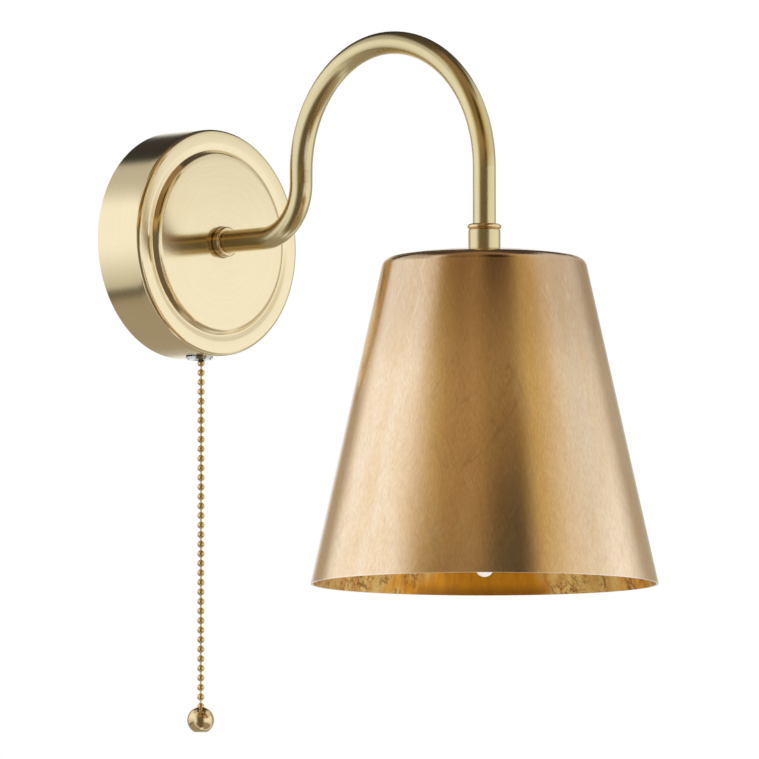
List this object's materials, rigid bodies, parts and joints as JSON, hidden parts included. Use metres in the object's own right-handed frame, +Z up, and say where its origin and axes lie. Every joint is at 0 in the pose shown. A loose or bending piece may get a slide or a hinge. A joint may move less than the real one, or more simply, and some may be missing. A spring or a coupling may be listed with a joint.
{
  "type": "pull-chain swan-neck wall light",
  "caption": "Wall light with a round drum plate, a swan-neck arm, a tapered metal shade hanging over a candle lamp, and a ball-chain pull switch below the plate.",
  "frame": {"origin": "centre of the drum plate on the wall, midway between the bracket's two slots", "axes": "+Z up, +Y into the wall, +X to the right of someone who faces the wall; the light stands out along -Y"},
  "size_m": [0.1504, 0.2619, 0.3012],
  "materials": {
    "antique_brass": "antique brass plating, lacquered",
    "polished_brass": "polished brass",
    "chrome_plate": "polished chrome plating",
    "zinc_steel": "zinc plated steel",
    "white_moulding": "moulded, satin",
    "dark_moulding": "moulded phenolic, satin",
    "contact_brass": "bare brass",
    "flex_sheath": "flexible sheath",
    "wire_sheath": "flexible insulation",
    "lamp_glass": "frosted glass",
    "inner_glass": "clear glass",
    "filament_coat": "phosphor coating"
  },
  "bodies": {
    "fixture": {"backplate_cover": "antique_brass", "wall_bracket": "zinc_steel", "cover_screw": "polished_brass", "earth_screw": "contact_brass", "earth_cup_washer": "contact_brass", "terminal_block": "white_moulding", "terminal_inserts": "contact_brass", "terminal_screws": "zinc_steel", "block_screws": "zinc_steel", "switch_case": "dark_moulding", "switch_lid": "dark_moulding", "switch_blades": "contact_brass", "switch_neck": "chrome_plate", "switch_washer": "zinc_steel", "switch_nut": "chrome_plate", "switch_leads": "wire_sheath", "arm_tube": "antique_brass", "arm_collar": "polished_brass", "arm_lock_washer": "zinc_steel", "arm_lock_nut": "zinc_steel", "lamp_flex": "flex_sheath", "arm_end_ring": "polished_brass", "shade_coupler": "antique_brass", "shade": "antique_brass", "shade_washer": "zinc_steel", "shade_nut": "zinc_steel", "lampholder_cap": "dark_moulding", "lampholder_skirt": "dark_moulding", "lampholder_insulator": "white_moulding", "lamp_screw_shell": "contact_brass", "centre_contact": "contact_brass"},
    "pull": {"pull_rod": "contact_brass", "upper_chain_beads": "polished_brass", "upper_chain_links": "polished_brass"},
    "swivel": {"swivel_bead": "polished_brass"},
    "chain": {"chain_beads": "polished_brass", "chain_links": "polished_brass", "pull_ball": "polished_brass"},
    "lamp": {"lamp_contact": "contact_brass", "lamp_insulator": "inner_glass", "lamp_cap": "contact_brass", "lamp_glass": "lamp_glass", "lamp_stem": "inner_glass", "lamp_filaments": "filament_coat"}
  },
  "joints": [
    {"name": "switch_pull", "type": "slide", "parent": "fixture", "child": "pull", "axis": [0, 0, -1], "range_m": [0, 0.008], "stiffness_N_per_m": 600, "springref_m": -0.01},
    {"name": "chain_swing_out", "type": "hinge", "parent": "pull", "child": "swivel", "pos_m": [0, -0.0144, -0.05275], "axis": [-1, 0, 0], "range_deg": [-3, 40]},
    {"name": "chain_swing_side", "type": "hinge", "parent": "swivel", "child": "chain", "pos_m": [0, -0.0144, -0.05275], "axis": [0, 1, 0], "range_deg": [-60, 60]},
    {"name": "lamp_unscrew", "type": "slide", "parent": "fixture", "child": "lamp", "axis": [0, 0, -1], "range_m": [0, 0.018]}
  ]
}
